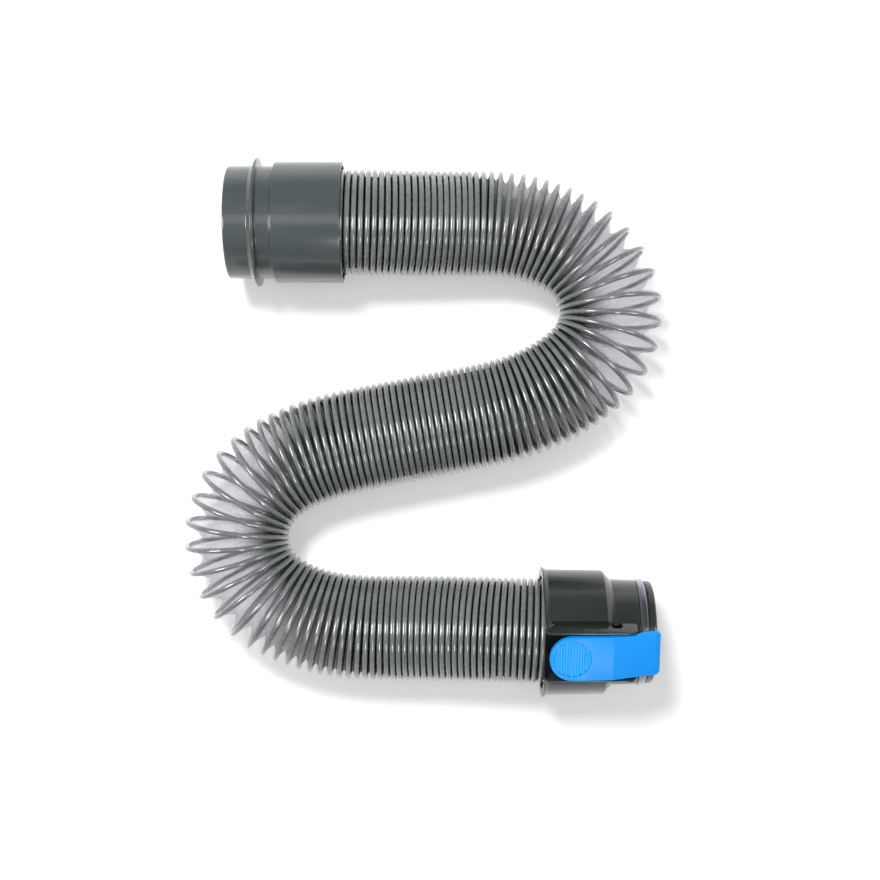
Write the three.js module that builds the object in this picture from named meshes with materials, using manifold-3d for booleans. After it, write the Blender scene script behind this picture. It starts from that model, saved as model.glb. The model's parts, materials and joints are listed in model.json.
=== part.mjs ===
// Stretch hose with a wire-wound body, a plain snap cuff at one end and a latch cuff at the other.
// Millimetres, +Z up. The hose lies in an S on the surface z = 0, in the XY plane, and both cuffs
// point along X. The origin is midway between the cuffs, on the surface.

import * as THREE from 'three';
import { mergeVertices } from 'three/addons/utils/BufferGeometryUtils.js';
import { NURBSCurve } from 'three/addons/curves/NURBSCurve.js';
import Module from 'manifold-3d';

const wasm = await Module();
wasm.setup();

// ---------------------------------------------------------------- driving dimensions

const GAP = 0.3;                 // clearance between pieces that touch on the real object
const PAST = 2;                  // how far a cut runs past the surface it opens

const HOSE_R = 24.65;            // outside of the wire turns
const HOSE_WALL = 3.0;           // wire and film together
const HOSE_SIDES = 12;
const BEND_STEP = 8;             // length of one facet ring in a bend
const RUN_STEP = 24;             // length of one facet ring in a straight run

const PLAIN_AXIS_Y = 95.95;      // axis of the plain cuff
const PLAIN_AXIS_Z = 29.8;       // it rests on its flange
const LATCH_AXIS_Y = -95.55;     // axis of the latch cuff
const LATCH_AXIS_Z = 30.2;       // it rests on its flared rim

const TURN_SIDES = 36;           // facets round a turned piece
const BORE_R = 26.4;             // swivel bore of both cuffs, where the hose collar turns

// Hose collar, washer and snap ring, the same at both ends, measured from the hose end.
const COLLAR_R = 26.1;
const COLLAR_LENGTH = 21.1;
const COLLAR_FLANGE = 1.2;
const WASHER_THICK = 1.2;
const AIRWAY_R = HOSE_R - HOSE_WALL;
const RING_THICK = 1.2;
const RING_R = 26.95;
const RING_INNER_R = 25.3;
const GROOVE_R = 27.25;
const RING_OPENING = 0.4;        // angle of the snap ring's gap, radians

// Latch, in the plane of the lever: X along the cuff, N out from the cuff axis, U across.
const LATCH_TILT = THREE.MathUtils.degToRad(14.5);   // the lever sits this far off the crown
const PIVOT_X = 79.2;
const PIVOT_N = 25.0;
const LEVER_HALF = 10.15;        // half the lever's width
const POCKET_HALF = 10.95;       // half the gap between the side walls
const WALL_OUT = 12.3;           // outside of the side walls
const WALL_TOP = 31.2;           // the walls' rims
const POCKET_FLOOR = 27.6;

// Control points of the hose's axis, a uniform cubic B-spline. The first and the last only set
// the direction at the ends.
const ROUTE = [
  [-92, 96, 29.8], [-72, 96, 29.8], [-52, 96, 29.8], [-31, 96, 29.2], [-10, 96, 27],
  [11, 96, 25], [32, 96.5, HOSE_R], [53, 91, HOSE_R], [70, 80.5, HOSE_R], [79.5, 65, HOSE_R],
  [81, 48, HOSE_R], [74.5, 33, HOSE_R], [60.5, 21, HOSE_R], [41.5, 11, HOSE_R],
  [19.5, 5.5, HOSE_R], [-5.5, 1, HOSE_R], [-30.5, -4, HOSE_R], [-55.5, -9, HOSE_R],
  [-76.5, -17.5, HOSE_R], [-91.3, -31, HOSE_R], [-97.3, -48, HOSE_R], [-95, -65, HOSE_R],
  [-84.5, -80, HOSE_R], [-66, -90, HOSE_R], [-43.5, -94.5, HOSE_R], [-18.5, -94.5, 25],
  [6, -94.5, 26.8], [29, -95, 29.4], [51, -95.55, 30.2], [71, -95.55, 30.2], [91, -95.55, 30.2],
];

// The hose's stretches, each with the share of the whole length at which it ends.
const HOSE_SPANS = [
  { name: 'hose_upper_run', end: 0.155, step: RUN_STEP },
  { name: 'hose_right_bend_b', end: 0.2975, step: BEND_STEP },
  { name: 'hose_right_bend_a', end: 0.385, step: BEND_STEP },
  { name: 'hose_middle_run', end: 0.575, step: RUN_STEP },
  { name: 'hose_left_bend_a', end: 0.7, step: BEND_STEP },
  { name: 'hose_left_bend_b', end: 0.84, step: BEND_STEP },
  { name: 'hose_lower_run', end: 1, step: RUN_STEP },
];

// ---------------------------------------------------------------- materials

function plastic(colour, roughness) {
  return new THREE.MeshStandardMaterial({ color: colour, roughness, metalness: 0 });
}

const hoseGrey = () => plastic(0x9aa0a2, 0.35);
const cuffGrey = () => plastic(0x566062, 0.3);
const latchCuffGrey = () => plastic(0x3a3f3d, 0.3);
const innerGrey = () => plastic(0x2c2f30, 0.5);
const leverBlue = () => plastic(0x1496ff, 0.35);
const sealRubber = () => plastic(0x9a97b0, 0.4);
const steel = () => new THREE.MeshStandardMaterial({ color: 0xb0b4b8, roughness: 0.3, metalness: 1 });

// ---------------------------------------------------------------- helpers

const object = new THREE.Group();

function addPiece(parent, name, geometry, material) {
  const mesh = new THREE.Mesh(geometry, material);
  mesh.name = name;
  parent.add(mesh);
  return mesh;
}

// Keeps only the positions and joins the vertices that coincide.
function positionsOnly(geometry) {
  const plain = geometry.clone();
  for (const key of Object.keys(plain.attributes)) {
    if (key !== 'position') plain.deleteAttribute(key);
  }
  return mergeVertices(plain, 1e-4);
}

// A manifold solid from a closed geometry.
function toSolid(geometry) {
  const merged = positionsOnly(geometry);
  const vertProperties = new Float32Array(merged.attributes.position.array);
  const triVerts = new Uint32Array(merged.index.array);
  return new wasm.Manifold(new wasm.Mesh({ numProp: 3, vertProperties, triVerts }));
}

function toGeometry(solid) {
  const mesh = solid.getMesh();
  const geometry = new THREE.BufferGeometry();
  geometry.setAttribute('position', new THREE.BufferAttribute(mesh.vertProperties, 3));
  geometry.setIndex(new THREE.BufferAttribute(mesh.triVerts, 1));
  geometry.computeVertexNormals();
  return geometry;
}

// A piece turned about X from an outline of [x, radius] points, which closes on itself unless it
// starts and ends on the axis. The outline is taken in the order that turns its faces outwards.
function turned(outline, sides = TURN_SIDES) {
  const points = outline.map(([x, r]) => new THREE.Vector2(r, x));
  if (THREE.ShapeUtils.area(points) < 0) points.reverse();
  if (points[0].x > 0) points.push(points[0].clone());
  const geometry = new THREE.LatheGeometry(points, sides);
  geometry.rotateZ(-Math.PI / 2);
  return geometry;
}

// A plain turned ring between two stations.
function ringOutline(x0, x1, inner, outer) {
  return [[x0, inner], [x0, outer], [x1, outer], [x1, inner]];
}

// An outline in the X-N plane, extruded across between u0 and u1, in either order. In the
// returned geometry X is along the cuff, Z is N and U runs along -Y, so that the plate faces up.
function acrossPlate(shape, u0, u1, curveSegments = 12) {
  const geometry = new THREE.ExtrudeGeometry(shape, {
    depth: Math.abs(u1 - u0), bevelEnabled: false, curveSegments,
  });
  geometry.translate(0, 0, Math.min(u0, u1));
  geometry.rotateX(Math.PI / 2);
  return geometry;
}

// A plan outline in X and U, extruded from n0 to n1.
function planPlate(shape, n0, n1, curveSegments = 12) {
  const geometry = new THREE.ExtrudeGeometry(shape, {
    depth: n1 - n0, bevelEnabled: false, curveSegments,
  });
  geometry.rotateX(Math.PI);
  geometry.translate(0, 0, n1);
  return geometry;
}

function polygon(points) {
  return new THREE.Shape(points.map(([x, y]) => new THREE.Vector2(x, y)));
}

// A round bar or hole across the latch, between u0 and u1, at the given X and N.
function acrossBar(x, n, radius, u0, u1, sides = 20) {
  const geometry = new THREE.CylinderGeometry(radius, radius, Math.abs(u1 - u0), sides);
  geometry.translate(x, -(u0 + u1) / 2, n);
  return geometry;
}

// ---------------------------------------------------------------- hose

function uniformSpline(points) {
  const knots = Array.from({ length: points.length + 4 }, (_, i) => i);
  const control = points.map(([x, y, z]) => new THREE.Vector4(x, y, z, 1));
  const curve = new NURBSCurve(3, knots, control, 3, points.length);
  curve.arcLengthDivisions = 1200;
  return curve;
}

// The part of a curve between two shares of its length.
class CurveSpan extends THREE.Curve {
  constructor(whole, from, to) {
    super();
    this.whole = whole;
    this.from = from;
    this.to = to;
  }

  getPoint(t, target = new THREE.Vector3()) {
    return this.whole.getPointAt(this.from + (this.to - this.from) * t, target);
  }
}

function hoseSection() {
  const section = new THREE.Shape();
  section.absarc(0, 0, HOSE_R, 0, 2 * Math.PI, false);
  const airway = new THREE.Path();
  airway.absarc(0, 0, AIRWAY_R, 0, 2 * Math.PI, true);
  section.holes.push(airway);
  return section;
}

function buildHose() {
  const route = uniformSpline(ROUTE);
  const length = route.getLength();
  const halfGap = GAP / 2 / length;
  let start = 0;
  for (const span of HOSE_SPANS) {
    const from = start === 0 ? 0 : start + halfGap;
    const to = span.end === 1 ? 1 : span.end - halfGap;
    const geometry = new THREE.ExtrudeGeometry(hoseSection(), {
      steps: Math.ceil(((to - from) * length) / span.step),
      curveSegments: HOSE_SIDES / 2,
      extrudePath: new CurveSpan(route, from, to),
      bevelEnabled: false,
    });
    addPiece(object, span.name, geometry, hoseGrey());
    start = span.end;
  }
}

// ---------------------------------------------------------------- swivel joint of both cuffs

// The hose end sits at hoseEnd, and outward is -1 where the cuff continues towards -X.
function swivelStations(hoseEnd, outward) {
  const flangeFace = hoseEnd + outward * GAP;
  const collarFace = flangeFace + outward * COLLAR_FLANGE;
  const washerFace = collarFace + outward * GAP;
  const washerBack = washerFace + outward * WASHER_THICK;
  const ringFace = collarFace - outward * (COLLAR_LENGTH + GAP);
  return {
    flangeFace,
    collarFace,
    collarBack: collarFace - outward * COLLAR_LENGTH,
    washerFace,
    washerBack,
    cuffStep: washerBack + outward * GAP,
    ringFace,
    ringBack: ringFace - outward * RING_THICK,
    grooveFront: ringFace + outward * GAP / 2,
    grooveBack: ringFace - outward * (RING_THICK + GAP / 2),
  };
}

// A collar bonded over the last turns of the hose, with a flange over its end.
function hoseCollar(at) {
  return turned([
    [at.collarFace, AIRWAY_R],
    [at.collarFace, COLLAR_R],
    [at.collarBack, COLLAR_R],
    [at.collarBack, HOSE_R + GAP],
    [at.flangeFace, HOSE_R + GAP],
    [at.flangeFace, AIRWAY_R],
  ]);
}

function thrustWasher(at) {
  return turned(ringOutline(at.washerFace, at.washerBack, AIRWAY_R, COLLAR_R));
}

// An open spring ring that holds the collar in the cuff.
function snapRing(at) {
  const outline = new THREE.Shape();
  const from = Math.PI / 2 + RING_OPENING / 2;
  const to = from + 2 * Math.PI - RING_OPENING;
  outline.absarc(0, 0, RING_R, from, to, false);
  outline.absarc(0, 0, RING_INNER_R, to, from, true);
  const geometry = new THREE.ExtrudeGeometry(outline, {
    depth: RING_THICK, bevelEnabled: false, curveSegments: 18,
  });
  geometry.rotateY(Math.PI / 2);
  geometry.translate(Math.min(at.ringFace, at.ringBack), 0, 0);
  return geometry;
}

function axisGroup(y, z) {
  const group = new THREE.Group();
  group.position.set(0, y, z);
  object.add(group);
  return group;
}

// ---------------------------------------------------------------- plain cuff

const PLAIN_NOSE_X = -98.9;
const PLAIN_MOUTH_X = -45.6;
const PLAIN_NOSE_R = 26.1;
const PLAIN_FLANGE_X = -84.5;    // back face of the flange
const PLAIN_FLANGE_THICK = 1.7;
const PLAIN_NECK_END_X = -77.4;
const PLAIN_COLLAR_R = 28.0;
const PLAIN_AIRWAY_R = 23.4;
const CHAMFER = 0.6;

function plainCuff(at) {
  const flangeFront = PLAIN_FLANGE_X - PLAIN_FLANGE_THICK;
  return turned([
    [PLAIN_NOSE_X, PLAIN_AIRWAY_R],
    [PLAIN_NOSE_X, PLAIN_NOSE_R - CHAMFER],
    [PLAIN_NOSE_X + CHAMFER, PLAIN_NOSE_R],
    [flangeFront - 2.2, PLAIN_NOSE_R],
    [flangeFront - 0.4, PLAIN_NOSE_R + 1.3],
    [flangeFront, PLAIN_AXIS_Z - 0.4],
    [flangeFront + 0.4, PLAIN_AXIS_Z],
    [PLAIN_FLANGE_X - 0.4, PLAIN_AXIS_Z],
    [PLAIN_FLANGE_X, PLAIN_AXIS_Z - 0.4],
    [PLAIN_FLANGE_X, PLAIN_NOSE_R],
    [PLAIN_NECK_END_X, PLAIN_NOSE_R],
    [PLAIN_NECK_END_X + CHAMFER, PLAIN_COLLAR_R],
    [PLAIN_MOUTH_X, PLAIN_COLLAR_R],
    [PLAIN_MOUTH_X, BORE_R],
    [at.grooveBack, BORE_R],
    [at.grooveBack, GROOVE_R],
    [at.grooveFront, GROOVE_R],
    [at.grooveFront, BORE_R],
    [at.cuffStep, BORE_R],
    [at.cuffStep, PLAIN_AIRWAY_R],
  ]);
}

function buildPlainEnd() {
  const group = axisGroup(PLAIN_AXIS_Y, PLAIN_AXIS_Z);
  const at = swivelStations(ROUTE[1][0], -1);
  addPiece(group, 'plain_cuff', plainCuff(at), cuffGrey());
  addPiece(group, 'upper_hose_collar', hoseCollar(at), innerGrey());
  addPiece(group, 'plain_cuff_thrust_washer', thrustWasher(at), innerGrey());
  addPiece(group, 'plain_cuff_snap_ring', snapRing(at), steel());
}

// ---------------------------------------------------------------- latch cuff

const LATCH_MOUTH_X = 46.9;
const LATCH_COLLAR_R = 29.1;     // just behind the flared rim
const LATCH_SHOULDER_X = 75.2;
const LATCH_SHOULDER_R = 28.6;
const LATCH_NECK_X = 79.0;
const LATCH_NECK_R = 24.1;
const SEAL_GROOVE_X = 90.6;
const SEAL_GROOVE_END_X = 94.8;
const SEAL_GROOVE_R = 22.9;
const NOSE_END_X = 98.2;
const NOSE_LIP_R = 23.7;
const LATCH_AIRWAY_R = 20.6;
const SEAL_R = 24.8;
const EAR_END_X = 88.6;          // where the side walls end on the neck
const EAR_ARC = 5.4;             // length of the rounding at that end
const CHEEK_SLOT_X = 75.3;       // the slots for the lever's cheeks start here
const CHEEK_SLOT_N = 22.0;       // and go down to here
const CHEEK_IN = 9.3;            // inside of the lever's two cheeks, which carry the pins
const PIN_HOLE_R = 1.8;
const PIN_RECESS_R = 2.6;
const PIN_RECESS_DEPTH = 0.8;

function latchCuffOuter() {
  return turned([
    [LATCH_MOUTH_X, 0],
    [LATCH_MOUTH_X, LATCH_AXIS_Z],
    [LATCH_MOUTH_X + 0.8, LATCH_AXIS_Z],
    [LATCH_MOUTH_X + 2.2, LATCH_COLLAR_R],
    [LATCH_SHOULDER_X, LATCH_SHOULDER_R],
    [LATCH_NECK_X, LATCH_NECK_R + 0.4],
    [LATCH_NECK_X + 0.4, LATCH_NECK_R],
    [SEAL_GROOVE_X, LATCH_NECK_R],
    [SEAL_GROOVE_X, SEAL_GROOVE_R],
    [SEAL_GROOVE_END_X, SEAL_GROOVE_R],
    [SEAL_GROOVE_END_X, NOSE_LIP_R],
    [NOSE_END_X - 1.6, NOSE_LIP_R],
    [NOSE_END_X - 0.5, NOSE_LIP_R - 0.6],
    [NOSE_END_X, NOSE_LIP_R - 1.8],
    [NOSE_END_X, 0],
  ]);
}

// What is cut away inside: the swivel bore, the snap ring's groove and the airway.
function latchCuffInner(at) {
  return turned([
    [LATCH_MOUTH_X - PAST, 0],
    [LATCH_MOUTH_X - PAST, BORE_R],
    [at.grooveBack, BORE_R],
    [at.grooveBack, GROOVE_R],
    [at.grooveFront, GROOVE_R],
    [at.grooveFront, BORE_R],
    [at.cuffStep, BORE_R],
    [at.cuffStep, LATCH_AIRWAY_R],
    [NOSE_END_X + PAST, LATCH_AIRWAY_R],
    [NOSE_END_X + PAST, 0],
  ]);
}

// Side view of a side wall: a straight rim, rounded down to the neck at its far end.
function wallShape() {
  const foot = 19.5;
  const corner = 1.2;
  const roundFrom = PIVOT_N - 2;
  const shape = new THREE.Shape();
  shape.moveTo(LATCH_MOUTH_X, foot);
  shape.lineTo(EAR_END_X, foot);
  shape.lineTo(EAR_END_X, roundFrom);
  shape.absellipse(EAR_END_X - EAR_ARC, roundFrom, EAR_ARC, WALL_TOP - roundFrom, 0, Math.PI / 2);
  shape.lineTo(LATCH_MOUTH_X + corner, WALL_TOP);
  shape.lineTo(LATCH_MOUTH_X, WALL_TOP - corner);
  return shape;
}

// The pocket is open towards the hose and, above the neck, towards the nose.
function pocketPlan() {
  return polygon([
    [LATCH_MOUTH_X - PAST, -POCKET_HALF],
    [EAR_END_X + PAST, -POCKET_HALF],
    [EAR_END_X + PAST, POCKET_HALF],
    [LATCH_MOUTH_X - PAST, POCKET_HALF],
  ]);
}

// Room in the shoulder for one of the lever's two cheeks.
function cheekSlot(side) {
  const length = LATCH_NECK_X + 1 - CHEEK_SLOT_X;
  const width = POCKET_HALF - CHEEK_IN + 2 * GAP;
  const height = POCKET_FLOOR + 0.4 - CHEEK_SLOT_N;
  const slot = new THREE.BoxGeometry(length, width, height);
  slot.translate(
    CHEEK_SLOT_X + length / 2,
    -side * (POCKET_HALF - width / 2),
    CHEEK_SLOT_N + height / 2,
  );
  return slot;
}

function latchCuff(at) {
  let body = toSolid(latchCuffOuter());
  const upright = new THREE.Matrix4().makeRotationX(LATCH_TILT);
  const inLatch = (geometry) => toSolid(geometry.applyMatrix4(upright));
  for (const side of [-1, 1]) {
    const wall = acrossPlate(wallShape(), side * POCKET_HALF, side * WALL_OUT, 8);
    body = body.add(inLatch(wall));
  }
  body = body.subtract(inLatch(planPlate(pocketPlan(), POCKET_FLOOR, WALL_TOP + PAST)));
  body = body.subtract(inLatch(cheekSlot(-1))).subtract(inLatch(cheekSlot(1)));
  body = body.subtract(toSolid(latchCuffInner(at)));
  for (const side of [-1, 1]) {
    const inner = side * (POCKET_HALF - GAP / 2);
    const recess = side * (WALL_OUT - PIN_RECESS_DEPTH);
    const outer = side * (WALL_OUT + PAST);
    const hole = acrossBar(PIVOT_X, PIVOT_N, PIN_HOLE_R, inner, outer);
    const dish = acrossBar(PIVOT_X, PIVOT_N, PIN_RECESS_R, recess, outer);
    body = body.subtract(inLatch(hole)).subtract(inLatch(dish));
  }
  return toGeometry(body);
}

// A rubber ring that seals the nose in the socket.
function noseSeal() {
  const x0 = SEAL_GROOVE_X + GAP;
  const x1 = x0 + 3.1;
  const inner = SEAL_GROOVE_R + GAP;
  return turned([
    [x0, inner],
    [x0, SEAL_R - 0.7],
    [x0 + 0.7, SEAL_R],
    [x1 - 0.7, SEAL_R],
    [x1, SEAL_R - 0.7],
    [x1, inner],
  ]);
}

// ---------------------------------------------------------------- latch lever

const LEVER_START_X = 48.7;
const LEVER_END_X = 98.9;
const RIDGE_X = 77.2;            // the lever bends down here
const TOOTH_N = 24.4;            // the hook's tip
const THUMB_R = 8.1;             // round dished area under the thumb
const THUMB_DEPTH = 0.7;
const THUMB_TOP = 33.2;          // the lever's top at the middle of that area
const RIB_COUNT = 7;
const RIB_PITCH = 2.45;
const RIB_WIDTH = 1.1;
const CHEEK_R = 2.4;
const PIN_R = 1.5;
const PIN_SIDES = 16;
const PIN_PRESS = 0.1;           // room round a pin in its cheek

function leverSide() {
  return polygon([
    [LEVER_START_X, 31.4],
    [LEVER_START_X, 32.8],
    [LEVER_START_X + 0.9, 33.4],
    [66, 33.0],
    [RIDGE_X, 32.5],
    [LEVER_END_X - 2.2, 28.3],
    [LEVER_END_X - 0.7, 27.7],
    [LEVER_END_X, 26.6],
    [LEVER_END_X, TOOTH_N],
    [LEVER_END_X - 1.9, TOOTH_N],
    [LEVER_END_X - 2.7, 26.4],
    [84, 28.6],
    [RIDGE_X, 29.6],
    [LEVER_START_X + 1, 30.8],
  ]);
}

// Seen from above: a round thumb end, and a hook end that widens past the side walls on one side.
function leverPlan() {
  const corner = 2.4;
  const hookLow = -LEVER_HALF - 0.9;
  const hookHigh = LEVER_HALF - 0.8;
  const cornerX = LEVER_END_X - corner;
  const shape = new THREE.Shape();
  shape.absarc(LEVER_START_X + LEVER_HALF, 0, LEVER_HALF, Math.PI / 2, (3 * Math.PI) / 2, false);
  shape.lineTo(EAR_END_X + 0.4, -LEVER_HALF);
  shape.lineTo(EAR_END_X + 2.4, hookLow);
  shape.lineTo(cornerX, hookLow);
  shape.absarc(cornerX, hookLow + corner, corner, -Math.PI / 2, 0, false);
  shape.lineTo(LEVER_END_X, hookHigh - corner);
  shape.absarc(cornerX, hookHigh - corner, corner, 0, Math.PI / 2, false);
  shape.lineTo(RIDGE_X, LEVER_HALF);
  return shape;
}

function cheekShape() {
  const shape = new THREE.Shape();
  shape.moveTo(PIVOT_X - 3.4, 29.8);
  shape.lineTo(PIVOT_X - CHEEK_R, PIVOT_N);
  shape.absarc(PIVOT_X, PIVOT_N, CHEEK_R, Math.PI, 2 * Math.PI, false);
  shape.lineTo(PIVOT_X + 4, 29.6);
  return shape;
}

// A round block of the thumb area's size, between two heights.
function thumbDisc(x, n0, n1) {
  const disc = new THREE.CylinderGeometry(THUMB_R, THUMB_R, n1 - n0, 32);
  disc.rotateX(Math.PI / 2);
  disc.translate(x, 0, (n0 + n1) / 2);
  return toSolid(disc);
}

function latchLever() {
  const widest = LEVER_HALF + PAST;
  let lever = toSolid(acrossPlate(leverSide(), -widest, widest));
  lever = lever.intersect(toSolid(planPlate(leverPlan(), TOOTH_N - PAST, THUMB_TOP + PAST, 10)));
  for (const side of [-1, 1]) {
    const cheek = acrossPlate(cheekShape(), side * CHEEK_IN, side * LEVER_HALF, 6);
    const holeEnds = [side * (CHEEK_IN - PAST), side * (LEVER_HALF + PAST)];
    const hole = acrossBar(PIVOT_X, PIVOT_N, PIN_R + PIN_PRESS, ...holeEnds, PIN_SIDES);
    lever = lever.add(toSolid(cheek)).subtract(toSolid(hole));
  }
  const thumbX = LEVER_START_X + LEVER_HALF;
  const dishFloor = THUMB_TOP - THUMB_DEPTH;
  lever = lever.subtract(thumbDisc(thumbX, dishFloor, THUMB_TOP + PAST));
  const ribSpace = thumbDisc(thumbX, dishFloor - PAST, THUMB_TOP);
  for (let i = 0; i < RIB_COUNT; i += 1) {
    const x = thumbX + (i - (RIB_COUNT - 1) / 2) * RIB_PITCH;
    const rib = new THREE.BoxGeometry(RIB_WIDTH, 2 * THUMB_R, 2 * THUMB_DEPTH);
    rib.translate(x, 0, dishFloor);
    lever = lever.add(toSolid(rib).intersect(ribSpace));
  }
  return toGeometry(lever);
}

// A steel stub pressed into one cheek, turning in the side wall next to it.
function latchPin(side) {
  const inner = side * (CHEEK_IN + PIN_PRESS);
  const outer = side * (WALL_OUT - PIN_RECESS_DEPTH - PIN_PRESS);
  return acrossBar(PIVOT_X, PIVOT_N, PIN_R, inner, outer, PIN_SIDES);
}

// A bent steel strip between the pocket's floor and the thumb end of the lever.
function leafSpring() {
  const thick = 0.5;
  const halfWidth = 3.5;
  const floor = POCKET_FLOOR + GAP;
  const contact = 29.8;          // underside of the strip where it bears on the lever
  return acrossPlate(polygon([
    [73, floor],
    [73, floor + thick],
    [68, floor + thick],
    [60, floor + thick + 1.0],
    [55, contact + thick],
    [52.5, contact + thick - 0.1],
    [52.5, contact - 0.1],
    [55, contact],
    [60, floor + 1.0],
    [68, floor],
  ]), -halfWidth, halfWidth);
}

function buildLatchEnd() {
  const group = axisGroup(LATCH_AXIS_Y, LATCH_AXIS_Z);
  const at = swivelStations(ROUTE[ROUTE.length - 2][0], 1);
  addPiece(group, 'latch_cuff', latchCuff(at), latchCuffGrey());
  addPiece(group, 'lower_hose_collar', hoseCollar(at), innerGrey());
  addPiece(group, 'latch_cuff_thrust_washer', thrustWasher(at), innerGrey());
  addPiece(group, 'latch_cuff_snap_ring', snapRing(at), steel());
  addPiece(group, 'nose_seal', noseSeal(), sealRubber());

  const latch = new THREE.Group();
  latch.rotation.x = LATCH_TILT;
  group.add(latch);
  addPiece(latch, 'latch_lever', latchLever(), leverBlue());
  addPiece(latch, 'latch_pin_inner', latchPin(-1), steel());
  addPiece(latch, 'latch_pin_outer', latchPin(1), steel());
  addPiece(latch, 'latch_leaf_spring', leafSpring(), steel());
}

buildHose();
buildPlainEnd();
buildLatchEnd();

export default object;
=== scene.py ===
"""A stretch hose with a wire-wound body and a clear film wall, a plain snap cuff and a latch cuff.

The scene is in metres, +Z up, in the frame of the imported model. Outlines of the cuffs and of the
lever are in millimetres, and become metres where their meshes are made.
"""
import json
import math

import bmesh
import bpy
import numpy as np
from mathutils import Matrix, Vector


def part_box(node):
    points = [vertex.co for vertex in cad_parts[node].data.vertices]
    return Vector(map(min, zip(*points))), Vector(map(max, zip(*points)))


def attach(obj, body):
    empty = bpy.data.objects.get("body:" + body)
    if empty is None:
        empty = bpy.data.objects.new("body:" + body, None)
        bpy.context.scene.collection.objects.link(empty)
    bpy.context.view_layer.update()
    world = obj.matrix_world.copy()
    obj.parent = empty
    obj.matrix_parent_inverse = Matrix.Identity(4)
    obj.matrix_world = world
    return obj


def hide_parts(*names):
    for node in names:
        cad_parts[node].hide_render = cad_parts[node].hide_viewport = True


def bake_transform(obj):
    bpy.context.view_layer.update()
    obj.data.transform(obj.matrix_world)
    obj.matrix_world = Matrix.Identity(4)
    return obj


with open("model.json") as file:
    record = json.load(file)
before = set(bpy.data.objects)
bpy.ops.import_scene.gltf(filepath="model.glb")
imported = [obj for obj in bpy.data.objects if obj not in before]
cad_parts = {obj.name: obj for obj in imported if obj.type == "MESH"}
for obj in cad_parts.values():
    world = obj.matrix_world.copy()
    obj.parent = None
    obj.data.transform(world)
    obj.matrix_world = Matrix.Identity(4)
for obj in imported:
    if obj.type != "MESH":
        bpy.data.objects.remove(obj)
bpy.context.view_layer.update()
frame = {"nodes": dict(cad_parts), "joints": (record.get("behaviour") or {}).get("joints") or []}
JOINTS = {joint["name"]: joint for joint in frame["joints"]}

MM = 0.001

# ---------------------------------------------------------------- camera, floor and light

CAMERA_PLACE = (-0.0003, -0.00585, 0.707)
CAMERA_LENS = 59.15


def add_camera():
    camera = bpy.data.objects.new("camera", bpy.data.cameras.new("camera"))
    camera.location = CAMERA_PLACE
    camera.data.lens = CAMERA_LENS
    camera.data.sensor_width = 36
    bpy.context.scene.collection.objects.link(camera)
    bpy.context.scene.camera = camera


def add_softbox(name, place, aim, size, power, lights=True, shines=True):
    """A rectangular lamp facing a point. It lights what is matt, shows in what is glossy, or both."""
    lamp = bpy.data.lights.new(name, "AREA")
    lamp.shape = "RECTANGLE"
    lamp.size, lamp.size_y = size
    lamp.energy = power
    light = bpy.data.objects.new(name, lamp)
    light.location = place
    light.rotation_euler = (Vector(aim) - Vector(place)).to_track_quat("-Z", "Y").to_euler()
    light.visible_diffuse = lights
    light.visible_transmission = lights
    light.visible_glossy = shines
    bpy.context.scene.collection.objects.link(light)


def add_floor():
    """A white light table, which glows a little so that shadows on it stay pale."""
    bpy.ops.mesh.primitive_plane_add(size=8)
    floor = bpy.context.object
    floor.name = "floor"
    paint = bpy.data.materials.new("floor_white")
    paint.use_nodes = True
    shader = paint.node_tree.nodes["Principled BSDF"]
    shader.inputs["Base Color"].default_value = (0.93, 0.93, 0.93, 1)
    shader.inputs["Roughness"].default_value = 0.6
    shader.inputs["Specular IOR Level"].default_value = 0.2
    shader.inputs["Emission Color"].default_value = (1, 1, 1, 1)
    shader.inputs["Emission Strength"].default_value = 0.36
    floor.data.materials.append(paint)


def add_studio():
    """White walls round the table that darken upwards, with lamps above."""
    world = bpy.data.worlds.new("studio")
    world.use_nodes = True
    nodes, links = world.node_tree.nodes, world.node_tree.links
    direction = nodes.new("ShaderNodeTexCoord")
    height = nodes.new("ShaderNodeSeparateXYZ")
    walls = nodes.new("ShaderNodeMapRange")
    for name, value in (("From Min", 0.02), ("From Max", 0.32), ("To Min", 0.95), ("To Max", 0.25)):
        walls.inputs[name].default_value = value
    links.new(direction.outputs["Generated"], height.inputs["Vector"])
    links.new(height.outputs["Z"], walls.inputs["Value"])
    links.new(walls.outputs["Result"], nodes["Background"].inputs["Strength"])
    nodes["Background"].inputs["Color"].default_value = (1, 1, 1, 1)
    bpy.context.scene.world = world
    bpy.context.scene.view_settings.view_transform = "Standard"
    bpy.context.scene.cycles.transparent_max_bounces = 32
    add_softbox("key_softbox", (-0.28, 0.5, 1.2), (0, 0, 0), (0.26, 0.26), 12.5, shines=False)
    add_softbox("overhead_softbox", (-0.02, 0.06, 1.3), (-0.02, 0.0, 0), (0.9, 0.40), 1.6)
    add_softbox("left_softbox", (-0.75, -0.01, 0.75), (0, 0, 0), (0.34, 0.36), 12, lights=False)
    add_softbox("right_softbox", (0.75, -0.03, 0.75), (0, 0, 0), (0.34, 0.3), 4.5, lights=False)
    add_softbox("front_softbox", (0.18, -0.62, 0.72), (0.05, -0.09, 0), (0.16, 0.22), 3.6, lights=False)
    add_floor()


# ---------------------------------------------------------------- materials


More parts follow.
